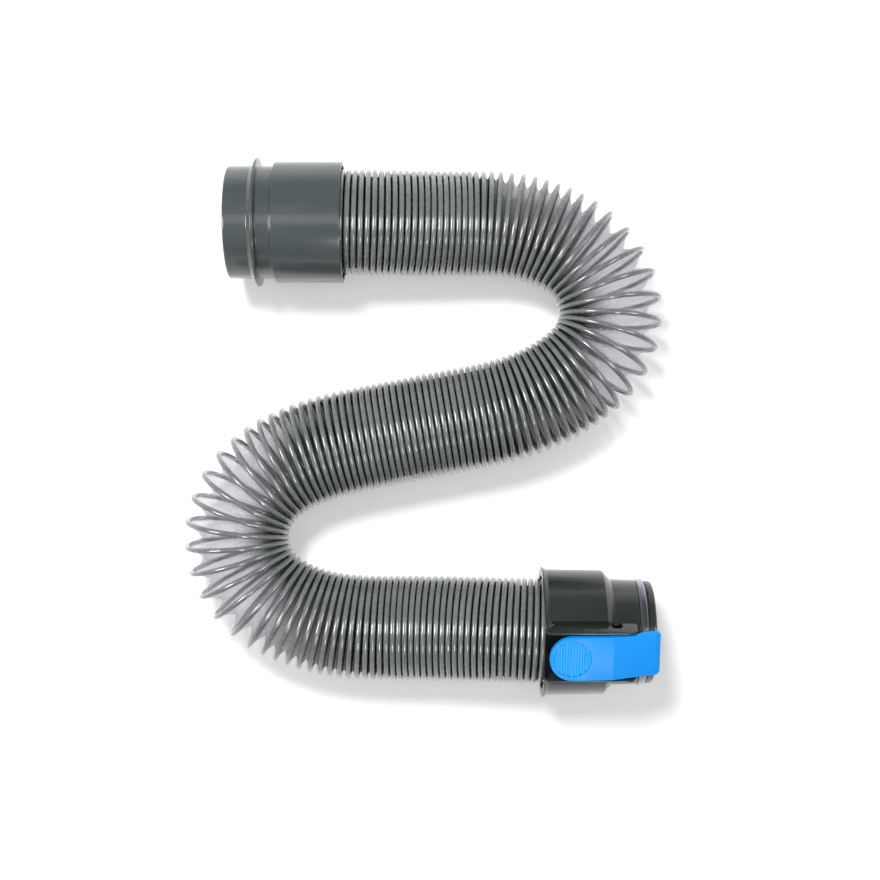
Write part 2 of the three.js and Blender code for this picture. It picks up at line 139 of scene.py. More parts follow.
class Paint:
    """A node material on a Principled shader, with helpers for noise, colour and bump."""

    def __init__(self, name, colour, roughness, **inputs):
        self.material = bpy.data.materials.new(name)
        self.material.use_nodes = True
        self.tree = self.material.node_tree
        self.shader = self.tree.nodes["Principled BSDF"]
        self.output = self.tree.nodes["Material Output"]
        self.set("Base Color", (*colour, 1))
        self.set("Roughness", roughness)
        for key, value in inputs.items():
            self.set(key.replace("_", " "), value)

    def set(self, name, value):
        self.shader.inputs[name].default_value = value

    def node(self, kind, **values):
        node = self.tree.nodes.new(kind)
        for key, value in values.items():
            node.inputs[key.replace("_", " ")].default_value = value
        return node

    def link(self, source, target):
        self.tree.links.new(source, target)

    def calculate(self, operation, *values):
        """A math node on sockets and numbers."""
        node = self.tree.nodes.new("ShaderNodeMath")
        node.operation = operation
        for i, value in enumerate(values):
            if isinstance(value, (int, float)):
                node.inputs[i].default_value = value
            else:
                self.link(value, node.inputs[i])
        return node.outputs["Value"]

    def noise(self, scale, detail=4, stretch=(1, 1, 1)):
        """Noise in the object's own coordinates, in cycles a metre, drawn out along an axis by stretch."""
        place = self.tree.nodes.new("ShaderNodeTexCoord")
        mapping = self.tree.nodes.new("ShaderNodeMapping")
        mapping.inputs["Scale"].default_value = stretch
        noise = self.node("ShaderNodeTexNoise", Scale=scale, Detail=detail)
        self.link(place.outputs["Object"], mapping.inputs["Vector"])
        self.link(mapping.outputs["Vector"], noise.inputs["Vector"])
        return noise.outputs["Fac"]

    def ramp(self, source, low, high, at=(0.3, 0.7)):
        """Maps a value to a range of greys or colours."""
        ramp = self.tree.nodes.new("ShaderNodeValToRGB")
        for element, value, position in zip(ramp.color_ramp.elements, (low, high), at):
            element.position = position
            element.color = (value, value, value, 1) if isinstance(value, (int, float)) else (*value, 1)
        self.link(source, ramp.inputs["Fac"])
        return ramp.outputs["Color"]

    def vary_colour(self, source, low, high, at=(0.3, 0.7)):
        self.link(self.ramp(source, low, high, at), self.shader.inputs["Base Color"])

    def vary_roughness(self, source, low, high, at=(0.3, 0.7)):
        self.link(self.ramp(source, low, high, at), self.shader.inputs["Roughness"])

    def bump(self, source, height, strength=1.0):
        """Relief of the given height in metres."""
        bump = self.node("ShaderNodeBump", Strength=strength, Distance=height)
        before = self.shader.inputs["Normal"].links
        if before:
            self.link(before[0].from_socket, bump.inputs["Normal"])
        self.link(source, bump.inputs["Height"])
        self.link(bump.outputs["Normal"], self.shader.inputs["Normal"])


def wire_coating():
    """Grey soft PVC drawn over the wire: glossy, with faint draw lines and blotches."""
    paint = Paint("hose_wire_coating", (0.17, 0.185, 0.185), 0.24, Coat_Weight=1.0, Coat_Roughness=0.09)
    paint.vary_colour(paint.noise(90, 5), (0.155, 0.17, 0.172), (0.215, 0.23, 0.228))
    paint.vary_roughness(paint.noise(400, 3), 0.2, 0.34)
    paint.bump(paint.noise(900, 3), 0.00005, 0.5)
    return paint.material


def attribute(paint, name):
    """The value of a mesh's own attribute, 0 on a mesh without it."""
    node = paint.tree.nodes.new("ShaderNodeAttribute")
    node.attribute_name = name
    return node.outputs["Fac"]


def pleat_slope(paint):
    """How far the pleats of a run along X are drawn out, from 0 to 1, read from the slope of their faces."""
    surface = paint.tree.nodes.new("ShaderNodeNewGeometry")
    normal = paint.tree.nodes.new("ShaderNodeSeparateXYZ")
    slope = paint.node("ShaderNodeMapRange", From_Min=0.62, From_Max=0.40)
    paint.link(surface.outputs["True Normal"], normal.inputs["Vector"])
    paint.link(paint.calculate("ABSOLUTE", normal.outputs["X"]), slope.inputs["Value"])
    return slope.outputs["Result"]


def film():
    """Clear soft film: lilac-white where its pleats are open, painted near-black and nearly opaque where they
    are shut, as painted shade between the turns.

    Each point of the film carries how far its pleat is open at rest, from 0 to 1, as "spread". The
    film of a run that draws out carries "straight", and opens further by the slope of its faces.
    """
    paint = Paint("hose_clear_film", (0.92, 0.925, 0.98), 0.16)
    paint.bump(paint.noise(420, 5, (1, 1, 0.35)), 0.0006, 0.6)
    milk = paint.node("ShaderNodeBsdfTranslucent", Color=(0.93, 0.925, 0.995, 1))
    body = paint.node("ShaderNodeMixShader", Fac=0.6)
    clear = paint.node("ShaderNodeBsdfTransparent", Color=(0.985, 0.98, 0.995, 1))
    mix = paint.tree.nodes.new("ShaderNodeMixShader")
    facing = paint.node("ShaderNodeLayerWeight", Blend=0.35)
    drawn_out = paint.calculate("MULTIPLY", pleat_slope(paint), attribute(paint, "straight"))
    open_share = paint.calculate("MAXIMUM", attribute(paint, "spread"), drawn_out)
    shut = paint.calculate("SUBTRACT", 1, open_share)
    opacity = paint.calculate("MULTIPLY_ADD", facing.outputs["Facing"], 0.36, 0.2)
    # Where the pleats are shut the film turns nearly opaque, so that its painted shade hides what lies
    # behind.
    opacity = paint.calculate("MAXIMUM", opacity, paint.calculate("MULTIPLY", shut, 0.84))
    # Painted shade: the film and its translucent layer darken to near-black where the pleats are shut.
    paint.vary_colour(open_share, (0.02, 0.022, 0.024), (0.92, 0.925, 0.98), at=(0.15, 1))
    paint.link(paint.ramp(open_share, (0.02, 0.02, 0.023), (0.93, 0.925, 0.995), at=(0.15, 1)),
               milk.inputs["Color"])
    paint.set("Specular IOR Level", 0.3)
    paint.link(paint.shader.outputs["BSDF"], body.inputs[1])
    paint.link(milk.outputs["BSDF"], body.inputs[2])
    paint.link(opacity, mix.inputs["Fac"])
    paint.link(clear.outputs["BSDF"], mix.inputs[1])
    paint.link(body.outputs["Shader"], mix.inputs[2])
    paint.link(mix.outputs["Shader"], paint.output.inputs["Surface"])
    return paint.material


def glossy_moulding(name, low, high):
    """Injection-moulded glossy plastic with faint flow lines along the cuff."""
    paint = Paint(name, low, 0.2, Coat_Weight=0.25, Coat_Roughness=0.06)
    paint.vary_colour(paint.noise(60, 5, (0.25, 1, 1)), low, high)
    paint.vary_roughness(paint.noise(160, 4, (0.3, 1, 1)), 0.15, 0.27)
    paint.bump(paint.noise(130, 3, (0.15, 1, 1)), 0.00025, 0.35)
    paint.bump(paint.noise(2600, 2), 0.00002, 0.35)
    return paint.material


def matt_moulding(name, low, high, roughness=0.5, shine=0.5):
    paint = Paint(name, low, roughness, Specular_IOR_Level=shine)
    paint.vary_colour(paint.noise(140, 4), low, high)
    paint.vary_roughness(paint.noise(700, 3), roughness - 0.08, roughness + 0.1)
    paint.bump(paint.noise(1800, 3), 0.00004, 0.5)
    return paint.material


def lever_plastic_with_painted_glow(name, low, high):
    """Bright blue satin plastic with a fine spark-eroded grain, and a faint painted glow in its lighter blue.
    """
    # The emission is a painted glow that brightens the blue.
    paint = Paint(name, low, 0.36, Specular_IOR_Level=0.2,
                  Emission_Color=(*high, 1), Emission_Strength=0.14)
    paint.vary_colour(paint.noise(120, 4), low, high)
    paint.vary_roughness(paint.noise(900, 3), 0.32, 0.46)
    paint.bump(paint.noise(2400, 3), 0.00004, 0.6)
    return paint.material


def seal_rubber():
    """Dark glossy see-through rubber, with a painted lilac sheen where it is seen edge on."""
    paint = Paint("seal_soft_rubber", (0.05, 0.055, 0.05), 0.15, Coat_Weight=0.8, Coat_Roughness=0.05)
    facing = paint.node("ShaderNodeLayerWeight", Blend=0.4)
    # Painted sheen: the colour turns lilac by the angle of view.
    paint.vary_colour(facing.outputs["Facing"], (0.045, 0.05, 0.045), (0.46, 0.44, 0.66), at=(0.15, 0.75))
    paint.vary_roughness(paint.noise(500, 3), 0.12, 0.24)
    paint.bump(paint.noise(900, 3), 0.00006, 0.5)
    return paint.material


def drawn_steel():
    paint = Paint("drawn_steel", (0.62, 0.63, 0.64), 0.28, Metallic=1.0)
    paint.vary_roughness(paint.noise(500, 4, (0.2, 1, 1)), 0.22, 0.4)
    paint.bump(paint.noise(1500, 3, (0.15, 1, 1)), 0.00003, 0.5)
    return paint.material


WIRE_COATING = wire_coating()
FILM = film()
CUFF_GREY = glossy_moulding("cuff_slate_grey", (0.064, 0.081, 0.083), (0.088, 0.107, 0.108))
CUFF_DARK = glossy_moulding("latch_cuff_dark_grey", (0.018, 0.023, 0.020), (0.032, 0.039, 0.034))
# Near-black matt paint that stands in for the shade in the lever's pocket and in the pin holes: painted
# shade.
PAINTED_SHADE_BLACK = matt_moulding("latch_pocket_painted_shade", (0.001, 0.001, 0.0015), (0.003, 0.003, 0.004), 0.7, 0.08)
COLLAR_BLACK = matt_moulding("collar_black", (0.012, 0.013, 0.014), (0.025, 0.027, 0.028))
LEVER_BLUE = lever_plastic_with_painted_glow("lever_blue", (0.0, 0.31, 0.97), (0.0005, 0.34, 1.0))
# The ribs get a lighter blue, a painted highlight for light caught on their crests.
LEVER_RIB_PAINTED_HIGHLIGHT = lever_plastic_with_painted_glow("lever_rib_painted_highlight", (0.001, 0.44, 0.97), (0.002, 0.50, 1.0))
SEAL_RUBBER = seal_rubber()
STEEL = drawn_steel()

# ---------------------------------------------------------------- meshes


def mesh_object(name, vertices, faces, material, sharp_above=32):
    """An object from arrays of vertices in metres and faces, smooth except at sharp edges."""
    mesh = bpy.data.meshes.new(name)
    mesh.from_pydata(np.asarray(vertices).tolist(), [], [list(map(int, face)) for face in faces])
    mesh.polygons.foreach_set("use_smooth", [True] * len(mesh.polygons))
    mesh.set_sharp_from_angle(angle=math.radians(sharp_above))
    mesh.materials.append(material)
    mesh.update()
    made = bpy.data.objects.new(name, mesh)
    bpy.context.scene.collection.objects.link(made)
    return made


def rounded(corners, steps=5):
    """The points of a closed outline whose corners (a, b) or (a, b, fillet) are rounded by arcs."""
    points = []
    for i, corner in enumerate(corners):
        here = Vector(corner[:2])
        if len(corner) == 2:
            points.append(here)
            continue
        before = Vector(corners[i - 1][:2]) - here
        after = Vector(corners[(i + 1) % len(corners)][:2]) - here
        half = before.angle(after) / 2
        reach = min(corner[2] / math.tan(half), 0.49 * before.length, 0.49 * after.length)
        before.normalize()
        after.normalize()
        radius = reach * math.tan(half)
        centre = here + (before + after).normalized() * radius / math.sin(half)
        first = here + before * reach - centre
        last = here + after * reach - centre
        for step in range(steps + 1):
            share = step / steps
            points.append(centre + (first * (1 - share) + last * share).normalized() * radius)
    return points


def outward(made):
    """Turns the faces of a closed mesh outwards."""
    work = bmesh.new()
    work.from_mesh(made.data)
    bmesh.ops.recalc_face_normals(work, faces=work.faces)
    work.to_mesh(made.data)
    work.free()
    return made


def turned(name, corners, axis, material, sides=192):
    """A ring turned about an X axis from an outline of (x, radius, fillet) in millimetres."""
    outline = rounded(corners)
    turn = np.linspace(0, 2 * math.pi, sides, endpoint=False)
    x = np.array([point.x for point in outline]) * MM
    radius = np.array([point.y for point in outline]) * MM
    vertices = np.empty((len(outline), sides, 3))
    vertices[:, :, 0] = x[:, None]
    vertices[:, :, 1] = axis.y + radius[:, None] * np.cos(turn)
    vertices[:, :, 2] = axis.z + radius[:, None] * np.sin(turn)
    faces = []
    for i in range(len(outline)):
        row, above = i * sides, (i + 1) % len(outline) * sides
        for j in range(sides):
            k = (j + 1) % sides
            faces.append((row + j, row + k, above + k, above + j))
    return outward(mesh_object(name, vertices.reshape(-1, 3), faces, material))


def prism(name, outline, near, far, place, material):
    """A solid between two flat copies of a closed outline. place(a, b, depth) gives a point in mm."""
    vertices = [place(p.x, p.y, near) for p in outline] + [place(p.x, p.y, far) for p in outline]
    count = len(outline)
    faces = [tuple(range(count)), tuple(range(2 * count - 1, count - 1, -1))]
    faces += [(i, i + count, (i + 1) % count + count, (i + 1) % count) for i in range(count)]
    return outward(mesh_object(name, np.array(vertices) * MM, faces, material))


def apply_modifiers(made):
    with bpy.context.temp_override(object=made, active_object=made):
        for modifier in list(made.modifiers):
            bpy.ops.object.modifier_apply(modifier=modifier.name)
    return made


def bevelled(made, width, steps=3, angle=30):
    """Rounds the edges of a mesh that are sharper than the angle."""
    bevel = made.modifiers.new("bevel", "BEVEL")
    bevel.width = width * MM
    bevel.segments = steps
    bevel.limit_method = "ANGLE"
    bevel.angle_limit = math.radians(angle)
    return apply_modifiers(made)


def combined(made, tool, operation):
    """Joins a tool to a mesh, cuts it out or keeps what they share, and removes the tool."""
    boolean = made.modifiers.new("boolean", "BOOLEAN")
    boolean.operation = operation
    boolean.solver = "EXACT"
    boolean.material_mode = "TRANSFER"
    boolean.object = tool
    apply_modifiers(made)
    bpy.data.objects.remove(tool)
    return made


def smooth_shaded(made, sharp_above=32):
    made.data.polygons.foreach_set("use_smooth", [True] * len(made.data.polygons))
    made.data.set_sharp_from_angle(angle=math.radians(sharp_above))
    return made


# ---------------------------------------------------------------- the hose's route

HOSE_R = 0.02465

# Control points of the hose's axis, a uniform cubic B-spline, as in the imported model.
ROUTE = [
    (-0.092, 0.096, 0.0298), (-0.072, 0.096, 0.0298), (-0.052, 0.096, 0.0298), (-0.031, 0.096, 0.0292),
    (-0.010, 0.096, 0.027), (0.011, 0.096, 0.025), (0.032, 0.0965, HOSE_R), (0.053, 0.091, HOSE_R),
    (0.070, 0.0805, HOSE_R), (0.0795, 0.065, HOSE_R), (0.081, 0.048, HOSE_R), (0.0745, 0.033, HOSE_R),
    (0.0605, 0.021, HOSE_R), (0.0415, 0.011, HOSE_R), (0.0195, 0.0055, HOSE_R), (-0.0055, 0.001, HOSE_R),
    (-0.0305, -0.004, HOSE_R), (-0.0555, -0.009, HOSE_R), (-0.0765, -0.0175, HOSE_R),
    (-0.0913, -0.031, HOSE_R), (-0.0973, -0.048, HOSE_R), (-0.095, -0.065, HOSE_R), (-0.0845, -0.080, HOSE_R),
    (-0.066, -0.090, HOSE_R), (-0.0435, -0.0945, HOSE_R), (-0.0185, -0.0945, 0.025), (0.006, -0.0945, 0.0268),
    (0.029, -0.095, 0.0294), (0.051, -0.09555, 0.0302), (0.071, -0.09555, 0.0302), (0.091, -0.09555, 0.0302),
]
UPPER_RUN_END = 0.155        # shares of the length where the stretches that slide out end and start
LOWER_RUN_START = 0.84


class Route:
    """The hose's axis, which can be read at any length along it."""

    def __init__(self, points):
        self.points = np.array(points)
        self.spans = len(points) - 3
        self.u = np.linspace(0, self.spans, self.spans * 60 + 1)
        steps = np.linalg.norm(np.diff(self.weigh(self.u, 0), axis=0), axis=1)
        self.s = np.concatenate([[0], np.cumsum(steps)])
        self.length = self.s[-1]

    def weigh(self, u, order):
        """The axis at parameter u, or its first or second derivative."""
        i = np.minimum(np.floor(u).astype(int), self.spans - 1)
        t = u - i
        weights = {
            0: (
                (1 - t) ** 3 / 6,
                (3 * t**3 - 6 * t**2 + 4) / 6,
                (-3 * t**3 + 3 * t**2 + 3 * t + 1) / 6,
                t**3 / 6,
            ),
            1: (-((1 - t) ** 2) / 2, (3 * t**2 - 4 * t) / 2, (-3 * t**2 + 2 * t + 1) / 2, t**2 / 2),
            2: (1 - t, 3 * t - 2, 1 - 3 * t, t),
        }[order]
        return sum(weight[:, None] * self.points[i + k] for k, weight in enumerate(weights))

    def at(self, s):
        """Place, heading, side and up directions at lengths s."""
        u = np.interp(s, self.s, self.u)
        heading = self.weigh(u, 1)
        heading /= np.linalg.norm(heading, axis=1)[:, None]
        side = np.cross((0, 0, 1), heading)
        side /= np.linalg.norm(side, axis=1)[:, None]
        return self.weigh(u, 0), heading, side, np.cross(heading, side)

    def curvature(self, s):
        u = np.interp(s, self.s, self.u)
        first = self.weigh(u, 1)
        second = self.weigh(u, 2)
        cross = first[:, 0] * second[:, 1] - first[:, 1] * second[:, 0]
        return cross / np.linalg.norm(first[:, :2], axis=1) ** 3


# ---------------------------------------------------------------- the hose's helix

WIRE_R = 0.00122
WIRE_LINE_R = HOSE_R - WIRE_R
TIGHT_PITCH = 0.00294        # turn to turn where the turns nearly touch
OPEN_PITCH = 0.0125          # the most that the film between two turns lets them part
STEPS = 48                   # samples of the helix in a turn
WIRE_SIDES = 12
WIRE_END = 20                # samples that the wire stops short of each end of the hose
FILM_ROWS = 10               # rows of film between two turns
FILM_PANEL = 0.0095          # from a turn down to the fold of the film between it and the next
PLEAT_GAPS = (0.003, 0.0042, 0.006, 0.008)     # gaps between turns, and the share of its full depth
PLEAT_DEPTHS = (0.24, 0.3, 0.65, 1)            # that the pleat between them folds to
SHUT_GAP = 0.0032            # the film's pleats are shut below this gap,
SPREAD_GAP = 0.005           # and fully open when the gap is this much more
LOOSE_GAP = 0.004            # creases start at this gap, and are full after SPREAD_GAP more
PITCH_LIMIT = 8              # how sharply the two limits of the pitch meet
PITCH_WOBBLE = 0.025         # share by which the pitch varies along the hose


class Helix:
    """The wire's line, sampled evenly by angle. The turns close up inside a bend and fan outside it."""

    def __init__(self, route):
        s = np.linspace(0, route.length, 4000)
        bend = np.abs(route.curvature(s)) * HOSE_R
        closed = TIGHT_PITCH / np.maximum(1 - bend, 0.05)
        fanned = OPEN_PITCH / (1 + bend)
        pitch = (closed**-PITCH_LIMIT + fanned**-PITCH_LIMIT) ** (-1 / PITCH_LIMIT)
        pitch *= 1 + PITCH_WOBBLE * np.sin(s * 410) * np.sin(s * 173 + 1)
        turns = np.concatenate([[0], np.cumsum(np.diff(s) / ((pitch[1:] + pitch[:-1]) / 2))])
        self.count = int(turns[-1] * STEPS)
        self.s = np.interp(np.arange(self.count + 1) / STEPS, turns, s)
        angle = np.arange(self.count + 1) * 2 * math.pi / STEPS
        place, heading, side, up = route.at(self.s)
        self.out = np.cos(angle)[:, None] * side - np.sin(angle)[:, None] * up
        self.line = place + WIRE_LINE_R * self.out
        along = np.gradient(self.line, axis=0)
        along /= np.linalg.norm(along, axis=1)[:, None]
        self.across = np.cross(along, self.out)
        self.across /= np.linalg.norm(self.across, axis=1)[:, None]

    def sample_at(self, s):
        return int(np.searchsorted(self.s, s))


def wire_piece(name, helix, first, last):
    """The coated wire between two samples, a round bar with flat ends."""
    turn = np.linspace(0, 2 * math.pi, WIRE_SIDES, endpoint=False)
    keep = slice(first, last + 1)
    ring = (np.cos(turn)[None, :, None] * helix.out[keep][:, None, :]
            + np.sin(turn)[None, :, None] * helix.across[keep][:, None, :])
    vertices = (helix.line[keep][:, None, :] + WIRE_R * ring).reshape(-1, 3)
    rows = last - first
    i = np.arange(rows)[:, None] * WIRE_SIDES
    j = np.arange(WIRE_SIDES)[None, :]
    k = (j + 1) % WIRE_SIDES
    sides = np.stack([i + j, i + k, i + WIRE_SIDES + k, i + WIRE_SIDES + j], axis=2).reshape(-1, 4)
    caps = [tuple(range(WIRE_SIDES))[::-1], tuple(range(rows * WIRE_SIDES, (rows + 1) * WIRE_SIDES))]
    return mesh_object(name, vertices, list(sides) + caps, WIRE_COATING, sharp_above=50)


def film_piece(name, helix, first, last):
    """The film between the turns whose first edge runs from one sample to another."""
    last = min(last, helix.count - STEPS)
    near = helix.line[first:last + 1]
    far = helix.line[first + STEPS:last + STEPS + 1]
    out = helix.out[first:last + 1]
    gap = np.linalg.norm(far - near, axis=1)
    depth = np.sqrt(FILM_PANEL**2 - (gap / 2) ** 2)
    depth *= np.interp(gap, PLEAT_GAPS, PLEAT_DEPTHS)
    loose = np.clip((gap - LOOSE_GAP) / SPREAD_GAP, 0, 1)
    index = np.arange(first, last + 1)
    fold = 0.5 + 0.07 * loose * np.sin(index * 0.31 + 2 * np.sin(index * 0.043))
    vertices = []
    # Two crossing sets of creases, each about 0.2 mm high.
    for row in range(FILM_ROWS + 1):
        v = row / FILM_ROWS
        crease = 0.00018 * loose * np.sin(index * 0.83 + 2.2 * np.sin(index * 0.013 + 5 * v))
        crease += 0.00022 * loose * np.sin(index * 0.37 + 9 * v + 1.3)
        down = 1 - abs(2 * v - 1) ** 1.15
        across = np.where(v < 0.5, 2 * v * fold, 1 - 2 * (1 - v) * (1 - fold))
        drop = (depth * down + crease * 4 * v * (1 - v))[:, None]
        vertices.append(near + (far - near) * across[:, None] - out * drop)
    vertices = np.array(vertices)
    rows, samples = FILM_ROWS + 1, last - first + 1

    def number(row, i):
        """The last row of one turn is the first row of the next."""
        if row == FILM_ROWS and i + STEPS < samples:
            return i + STEPS
        return row * samples + i

    faces = []
    for row in range(FILM_ROWS):
        for i in range(samples - 1):
            faces.append((number(row, i), number(row + 1, i), number(row + 1, i + 1), number(row, i + 1)))
    made = mesh_object(name, vertices.reshape(rows * samples, 3), faces, FILM, sharp_above=180)
    spread = np.clip((gap - SHUT_GAP) / SPREAD_GAP, 0, 1)
    made.data.attributes.new("spread", "FLOAT", "POINT").data.foreach_set("value", np.tile(spread, rows))
    work = bmesh.new()
    work.from_mesh(made.data)
    bmesh.ops.delete(work, geom=[v for v in work.verts if not v.link_faces], context="VERTS")
    work.to_mesh(made.data)
    work.free()
    return made


# ---------------------------------------------------------------- the hose's pieces


def half_turns(helix, first, last):
    """Samples where the wire crosses the hose's level middle, with both ends."""
    half = STEPS // 2
    inner = [i for i in range(first + 1, last) if i % half == 0]
    return [first] + inner + [last]


def stretching_run(name, helix, first, last, bodies, start_x, end_x, node):
    """The film and the wire of a straight run that draws out along X.

    The film stretches along X. Each half turn of the wire is a piece of its own, which leans over
    as its run is drawn out, and keeps its thickness. It leans because its blend runs across the
    hose, from the part of the way that its first end goes to the part that its other end goes.
    """
    skin = film_piece(name + "_film", helix, first, last)
    straight = skin.data.attributes.new("straight", "FLOAT", "POINT")
    straight.data.foreach_set("value", [1.0] * len(skin.data.vertices))
    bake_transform(skin)
    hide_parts(node)
    stations = half_turns(helix, max(first, WIRE_END), min(last, helix.count - WIRE_END))
    for number, (a, b) in enumerate(zip(stations, stations[1:])):
        wire = wire_piece(f"{name}_wire_{number + 1:02d}", helix, a, b)
        place_a, place_b = helix.line[a], helix.line[b]
        share_a = (place_a[0] - start_x) / (end_x - start_x)
        share_b = (place_b[0] - start_x) / (end_x - start_x)
        if max(share_a, share_b) <= 0:
            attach(wire, bodies[0])
        elif min(share_a, share_b) >= 1:
            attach(wire, bodies[1])
        else:
            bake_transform(wire)


def build_hose():
    route = Route(ROUTE)
    helix = Helix(route)
    upper = helix.sample_at(route.length * UPPER_RUN_END)
    lower = helix.sample_at(route.length * LOWER_RUN_START)
    upper_collar, lower_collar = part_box("upper_hose_collar"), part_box("lower_hose_collar")
    collar_edge = {"upper": upper_collar[1].x, "lower": lower_collar[0].x}
    stretching_run("upper_run", helix, 0, upper, ("upper_arm", "upper_end"),
                   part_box("hose_upper_run")[1].x, collar_edge["upper"], "hose_upper_run")
    stretching_run("lower_run", helix, lower, helix.count, ("hose", "lower_end"),
                   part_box("hose_lower_run")[0].x, collar_edge["lower"], "hose_lower_run")

    skin = film_piece("hose_film", helix, upper, lower)
    wire = wire_piece("hose_wire", helix, upper, lower)
    for piece in (skin, wire):
        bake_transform(piece)
    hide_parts("hose_right_bend_b", "hose_right_bend_a", "hose_middle_run",
                "hose_left_bend_a", "hose_left_bend_b")
    first, last = route.length * UPPER_RUN_END, route.length * LOWER_RUN_START
    stations = np.linspace(first, last, 160)
    path = route.at(stations)[0]


# ---------------------------------------------------------------- swivel bores

BORE_R = 26.4                # the bore that the hose collar turns in
GROOVE_R = 27.25             # bottom of the snap ring's groove in it
RING_ROOM = 0.15             # room on each side of the snap ring in its groove
CUT_PAST = 0.05              # keeps a cut off the faces of the bore
WASHER_ROOM = 0.3            # from the thrust washer to the step of the bore


def swivel_bore(mouth, ring_node, washer_node, airway_r):
    """The inside of a cuff, from its mouth to the step that the thrust washer runs on."""
    outward = math.copysign(1, mouth)
    ring = [corner.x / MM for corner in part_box(ring_node)]
    washer = [corner.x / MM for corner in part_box(washer_node)]
    near, far = sorted(ring, key=abs)
    near -= outward * RING_ROOM
    far += outward * RING_ROOM
    step = outward * (max(map(abs, washer)) + WASHER_ROOM)
    return [
        (mouth, BORE_R, 0.4), (near, BORE_R), (near, GROOVE_R), (far, GROOVE_R), (far, BORE_R),
        (step, BORE_R), (step, airway_r, 0.4),
    ]


# ---------------------------------------------------------------- plain cuff


def build_plain_cuff():
    low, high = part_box("plain_cuff")
    axis = (low + high) / 2
    nose, mouth = low.x / MM, high.x / MM
    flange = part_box("plain_cuff")[1].z / MM - axis.z / MM
    flange_back = -84.5
    cuff = turned("plain_cuff_shell", [
        (nose, 23.4, 0.5),
        (nose, 26.1, 0.9),
        (flange_back - 3.4, 26.15, 0.6),
        (flange_back - 1.7, 27.5, 0.5),
        (flange_back - 1.3, flange, 0.45),
        (flange_back, flange, 0.45),
        (flange_back + 0.2, 26.1, 0.5),
        (-77.6, 26.1, 0.5),
        (-77.0, 28.0, 0.5),
        (mouth, 28.0, 0.45),
    ] + swivel_bore(mouth, "plain_cuff_snap_ring", "plain_cuff_thrust_washer", 23.4), axis, CUFF_GREY)
    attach(cuff, "plain_cuff")
    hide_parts("plain_cuff")


# ---------------------------------------------------------------- latch cuff

LATCH_AXIS = (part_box("latch_cuff_thrust_washer")[0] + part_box("latch_cuff_thrust_washer")[1]) / 2
LATCH_PRESS_AXIS = JOINTS["latch_press"]["axis"]
LATCH_TILT = math.atan2(-LATCH_PRESS_AXIS[2], -LATCH_PRESS_AXIS[1])
PIVOT_X = JOINTS["latch_press"]["pos_m"][0] / MM
PIVOT_N = (Vector(JOINTS["latch_press"]["pos_m"][1:]) - Vector(LATCH_AXIS[1:])).length / MM
MOUTH_X = 46.9
POCKET_HALF = 10.95
WALL_OUT = 11.95
WALL_LEAN = 0.0135           # the walls' outer faces stand out by this share for each millimetre down
WALL_TOP = 31.2
POCKET_FLOOR = 27.6
SHELF_TOP = 24.4             # the sloping flats beside the walls: outer height, outer edge and fall
SHELF_EDGE = 15.0
SHELF_FALL = 0.3
EAR_END_X = 88.6


def latch_point(x, across, out):
    """A point in millimetres from its place in the plane of the lever: X, across towards -Y, and out."""
    y = -across * math.cos(LATCH_TILT) - out * math.sin(LATCH_TILT)
    z = out * math.cos(LATCH_TILT) - across * math.sin(LATCH_TILT)
    return (x, LATCH_AXIS.y / MM + y, LATCH_AXIS.z / MM + z)


def across_prism(name, outline, near, far, material):
    """A solid whose side view (x, out) is the outline, between two places across the lever."""
    return prism(name, outline, near, far, lambda a, b, d: latch_point(a, d, b), material)


def plan_prism(name, outline, near, far, material):
    """A solid whose plan (x, across) is the outline, between two heights."""
    return prism(name, outline, near, far, lambda a, b, d: latch_point(a, b, d), material)


def wall_point(x, out, across):
    """As latch_point, with the wall's outer face leaning outwards towards its foot."""
    if abs(across) == WALL_OUT:
        across *= 1 + WALL_LEAN * (WALL_TOP - out)
    return latch_point(x, across, out)


def shelf_point(x, across, out):
    """As latch_point, with the floor of the shelf falling towards the wall."""
    if out == SHELF_TOP:
        out -= SHELF_FALL * (SHELF_EDGE - abs(across))
    return latch_point(x, across, out)


def circle(x, y, radius, sides=64):
    turn = [2 * math.pi * i / sides for i in range(sides)]
    return [Vector((x + radius * math.cos(a), y + radius * math.sin(a))) for a in turn]


